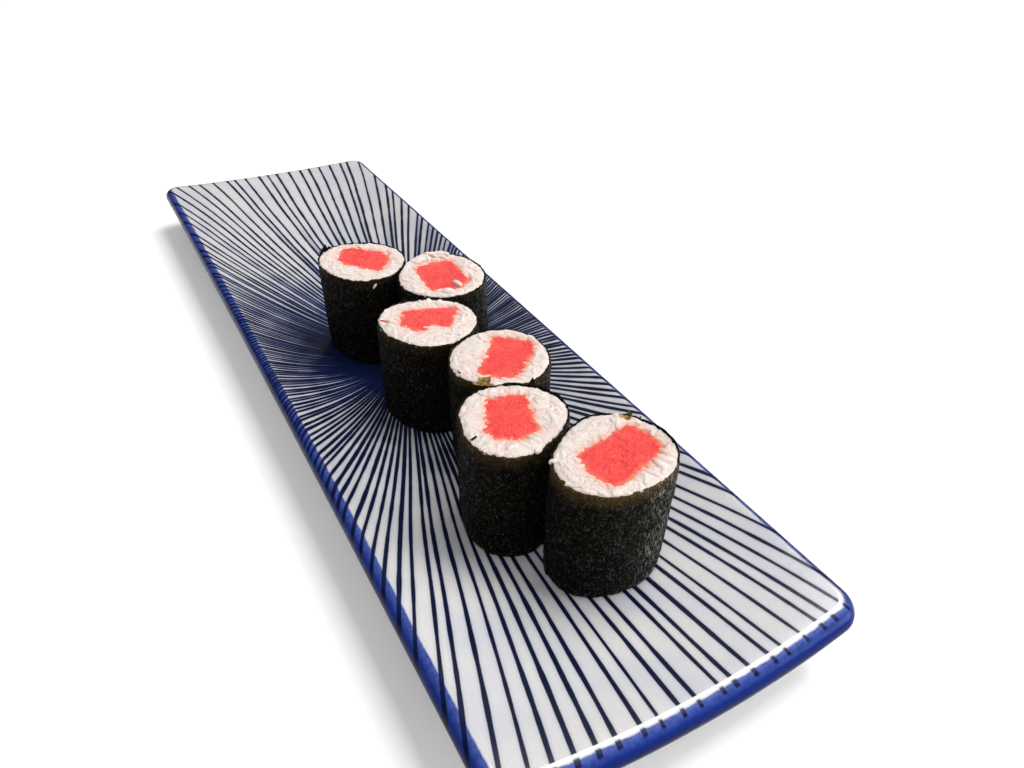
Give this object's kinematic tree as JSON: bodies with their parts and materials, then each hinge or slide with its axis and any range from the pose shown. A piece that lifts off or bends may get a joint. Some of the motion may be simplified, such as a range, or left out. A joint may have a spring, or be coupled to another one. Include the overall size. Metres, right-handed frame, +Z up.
{
  "type": "maki sushi roll",
  "caption": "Short thin rolls of seaweed, rice and raw tuna stand on end in a zigzag row on a long rectangular dish painted with fine blue radiating lines.",
  "frame": {"origin": "middle of the plate's footprint, on the surface that the foot stands on", "axes": "+Z up, X along the plate's length with the rolls on the +X side of its middle, Y across its width"},
  "size_m": [0.3356, 0.098, 0.0477],
  "materials": {
    "plate": "gloss glaze over hand-painted blue lines",
    "nori": "crinkled, half matt",
    "rice": "moist, half gloss",
    "tuna": "moist, fibrous"
  },
  "bodies": {
    "root": {"plate": "plate", "nori_1": "nori", "rice_1": "rice", "tuna_1": "tuna", "nori_2": "nori", "rice_2": "rice", "tuna_2": "tuna", "nori_3": "nori", "rice_3": "rice", "tuna_3": "tuna", "nori_4": "nori", "rice_4": "rice", "tuna_4": "tuna", "nori_5": "nori", "rice_5": "rice", "tuna_5": "tuna", "nori_6": "nori", "rice_6": "rice", "tuna_6": "tuna"}
  },
  "joints": []
}
